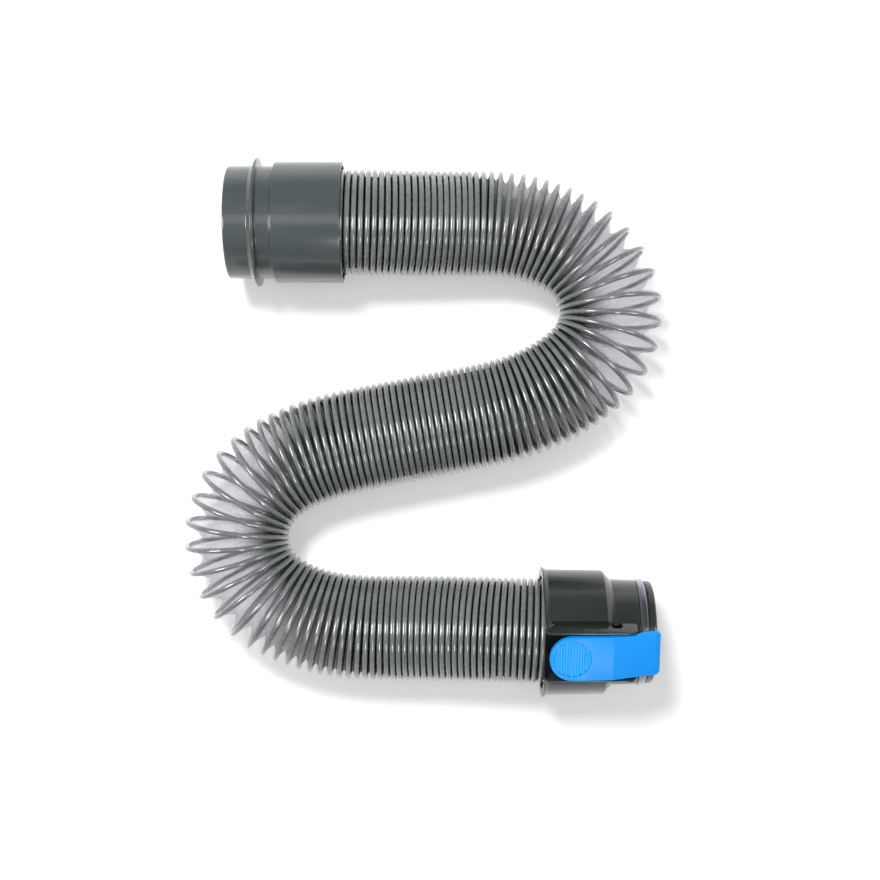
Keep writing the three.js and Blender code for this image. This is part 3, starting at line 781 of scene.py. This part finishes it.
def build_latch_cuff():
    bore = swivel_bore(MOUTH_X, "latch_cuff_snap_ring", "latch_cuff_thrust_washer", 20.6)
    cuff = turned("latch_cuff_shell", bore[::-1] + [
        (MOUTH_X, 30.2, 0.15),
        (MOUTH_X + 0.5, 30.2, 0.2),
        (MOUTH_X + 2.2, 29.1, 2.0),
        (75.2, 28.6, 0.8),
        (79.0, 24.5, 0.7),
        (90.6, 24.1, 0.3),
        (90.6, 22.9, 0.2),
        (94.8, 22.9, 0.2),
        (94.8, 23.7, 0.4),
        (98.2, 23.7, 2.0),
        (98.2, 20.6, 0.6),
    ], LATCH_AXIS, CUFF_DARK)
    pocket = [Vector((MOUTH_X - 2, -POCKET_HALF)), Vector((EAR_END_X + 2, -POCKET_HALF)),
              Vector((EAR_END_X + 2, POCKET_HALF)), Vector((MOUTH_X - 2, POCKET_HALF))]
    # The pocket's faces take a near-black painted shade from the cutting tool.
    combined(cuff, plan_prism("pocket", pocket, POCKET_FLOOR, WALL_TOP + 3, PAINTED_SHADE_BLACK), "DIFFERENCE")
    wall_outline = rounded([
        (MOUTH_X, 24.5), (EAR_END_X - 0.3, 22.3), (EAR_END_X, PIVOT_N - 1, 2.0),
        (EAR_END_X - 0.6, WALL_TOP, 5.2), (MOUTH_X, WALL_TOP, 2.4),
    ], steps=10)
    for side in (-1, 1):
        shelf = [Vector((MOUTH_X + 3.2, side * WALL_OUT)), Vector((79.5, side * WALL_OUT)),
                 Vector((79.5, side * SHELF_EDGE)), Vector((MOUTH_X + 3.2, side * SHELF_EDGE))]
        combined(cuff, prism("shelf", shelf, SHELF_TOP, WALL_TOP, shelf_point, CUFF_DARK), "DIFFERENCE")
        wall = prism("wall", wall_outline, side * (POCKET_HALF - 0.03), side * WALL_OUT,
                     wall_point, CUFF_DARK)
        bevelled(wall, 0.45)
        bore_room = turned("bore_room", [
            (MOUTH_X - 2, 18), (MOUTH_X - 2, BORE_R + CUT_PAST),
            *[(x + CUT_PAST, radius + CUT_PAST) for x, radius in bore[1:-1]], (bore[-1][0] + CUT_PAST, 18),
        ], LATCH_AXIS, CUFF_DARK)
        combined(wall, bore_room, "DIFFERENCE")
        combined(cuff, wall, "UNION")
        slot_plan = [Vector((75.3, side * 8.7)), Vector((82.6, side * 8.7)),
                     Vector((82.6, side * 10.9)), Vector((75.3, side * 10.9))]
        combined(cuff, plan_prism("cheek_slot", slot_plan, 22.0, 29.0, CUFF_DARK), "DIFFERENCE")
        # The pin hole and its dish take the same near-black painted shade.
        hole = across_prism("hole", circle(PIVOT_X, PIVOT_N, 1.8), side * (POCKET_HALF - 0.2),
                            side * (WALL_OUT + 2), PAINTED_SHADE_BLACK)
        combined(cuff, hole, "DIFFERENCE")
        dish = across_prism("dish", circle(PIVOT_X, PIVOT_N, 2.6), side * (WALL_OUT + 0.1),
                            side * (WALL_OUT + 3), PAINTED_SHADE_BLACK)
        combined(cuff, dish, "DIFFERENCE")
    smooth_shaded(cuff, 24)
    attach(cuff, "latch_cuff")
    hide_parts("latch_cuff")

    seal_low, seal_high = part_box("nose_seal")
    x0, x1 = seal_low.x / MM, seal_high.x / MM
    seal = turned("nose_seal_ring", [
        (x0, 23.2), (x0, 24.8, 1.2), (x1, 24.8, 1.2), (x1, 23.2),
    ], LATCH_AXIS, SEAL_RUBBER)
    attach(seal, "latch_cuff")
    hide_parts("nose_seal")


# ---------------------------------------------------------------- latch lever

LEVER_START_X = 48.7
LEVER_END_X = 98.9
LEVER_HALF = 10.15
RIDGE_X = 77.2
THUMB_R = 8.6
THUMB_TOP = 33.2
THUMB_DEPTH = 1.0
RIB_COUNT = 7
RIB_PITCH = 2.5
RIB_WIDTH = 1.25


def lever_blank():
    """The lever without its ribs: its side view crossed with its plan."""
    side_view = rounded([
        (LEVER_START_X - 0.02, 31.2, 0.3), (LEVER_START_X - 0.02, 33.4, 0.9), (66.5, 33.05, 6),
        (RIDGE_X, 32.4, 2.0), (96.6, 28.4, 2.0), (LEVER_END_X, 27.2, 1.4), (LEVER_END_X, 24.4, 0.5),
        (97.0, 24.4, 0.4), (96.3, 26.4, 1.0), (84.0, 28.6, 3.0), (RIDGE_X, 29.6, 3.0), (49.7, 30.8, 0.6),
    ])
    thumb_x = LEVER_START_X + LEVER_HALF
    arc = [Vector((thumb_x - LEVER_HALF * math.sin(a), LEVER_HALF * math.cos(a)))
           for a in np.linspace(0, math.pi, 41)]
    hook = rounded([
        (thumb_x, -LEVER_HALF), (EAR_END_X - 1.0, -LEVER_HALF, 4.0),
        (EAR_END_X + 2.6, -LEVER_HALF - 0.9, 4.0),
        (LEVER_END_X, -LEVER_HALF - 0.9, 2.2), (LEVER_END_X, LEVER_HALF - 0.8, 2.2),
        (90.0, LEVER_HALF - 0.7, 8.0), (RIDGE_X, LEVER_HALF, 8.0), (thumb_x, LEVER_HALF),
    ], steps=6)
    plan = arc + hook[1:-1]
    lever = plan_prism("latch_lever_moulding", plan, 22.0, 36.0, LEVER_BLUE)
    combined(lever, across_prism("side_view", side_view, -14, 14, LEVER_BLUE), "INTERSECT")
    return bevelled(lever, 0.45, angle=40)


def build_lever():
    lever = lever_blank()
    thumb_x = LEVER_START_X + LEVER_HALF
    floor = THUMB_TOP - THUMB_DEPTH
    dish = plan_prism("dish", circle(thumb_x, 0, THUMB_R), floor, THUMB_TOP + 3, LEVER_BLUE)
    combined(lever, dish, "DIFFERENCE")
    for i in range(RIB_COUNT):
        x = (i - (RIB_COUNT - 1) / 2) * RIB_PITCH
        reach = math.sqrt(THUMB_R**2 - (abs(x) + RIB_WIDTH / 2) ** 2) + 0.15
        section = rounded([
            (thumb_x + x - RIB_WIDTH / 2, floor - 0.4), (thumb_x + x + RIB_WIDTH / 2, floor - 0.4),
            (thumb_x + x + RIB_WIDTH / 2, THUMB_TOP + 0.1, 0.55),
            (thumb_x + x - RIB_WIDTH / 2, THUMB_TOP + 0.1, 0.55),
        ])
        # Each rib's faces take the lighter blue of the painted highlight.
        combined(lever, across_prism("rib", section, -reach, reach, LEVER_RIB_PAINTED_HIGHLIGHT), "UNION")
    for side in (-1, 1):
        cheek_view = rounded([
            (PIVOT_X - 3.4, 30.0), (PIVOT_X - 2.6, PIVOT_N - 2.4, 2.3), (PIVOT_X + 2.6, PIVOT_N - 2.4, 2.3),
            (PIVOT_X + 4.0, 29.8),
        ], steps=8)
        cheek = across_prism("cheek", cheek_view, side * 9.3, side * 10.12, LEVER_BLUE)
        combined(lever, cheek, "UNION")
        bore = across_prism("bore", circle(PIVOT_X, PIVOT_N, 1.6, 40), side * 8, side * 12, LEVER_BLUE)
        combined(lever, bore, "DIFFERENCE")
    smooth_shaded(lever)
    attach(lever, "latch")
    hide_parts("latch_lever")


def build_pins():
    for side, node in ((-1, "latch_pin_inner"), (1, "latch_pin_outer")):
        pin = across_prism(node + "_steel", circle(PIVOT_X, PIVOT_N, 1.5, 40), side * 9.4, side * 11.4, STEEL)
        bevelled(pin, 0.2)
        smooth_shaded(pin)
        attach(pin, "latch")
        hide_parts(node)


def build_leaf_spring():
    """The strip bends as the lever is pressed, so it goes from the cuff's body to the lever's."""
    thick, floor, contact = 0.5, 27.9, 29.8
    line = rounded([
        (73, floor), (73, floor + thick), (67, floor + thick, 8), (55.5, contact + thick + 0.05, 3),
        (53.2, contact + thick + 0.15), (53.2, contact + 0.15), (55.5, contact + 0.05, 3), (67, floor, 8),
    ], steps=8)
    strip = across_prism("latch_leaf_spring_strip", line, -3.5, 3.5, STEEL)
    smooth_shaded(strip)
    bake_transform(strip)
    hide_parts("latch_leaf_spring")


def paint_inner_parts():
    """The collars, washers and snap rings inside the cuffs keep their CAD shape."""
    for node, material in (
        ("upper_hose_collar", COLLAR_BLACK), ("lower_hose_collar", COLLAR_BLACK),
        ("plain_cuff_thrust_washer", COLLAR_BLACK), ("latch_cuff_thrust_washer", COLLAR_BLACK),
        ("plain_cuff_snap_ring", STEEL), ("latch_cuff_snap_ring", STEEL),
    ):
        slots = frame["nodes"][node].data.materials
        slots.clear()
        slots.append(material)


add_camera()
build_hose()
build_plain_cuff()
build_latch_cuff()
build_lever()
build_pins()
build_leaf_spring()
paint_inner_parts()
add_studio()
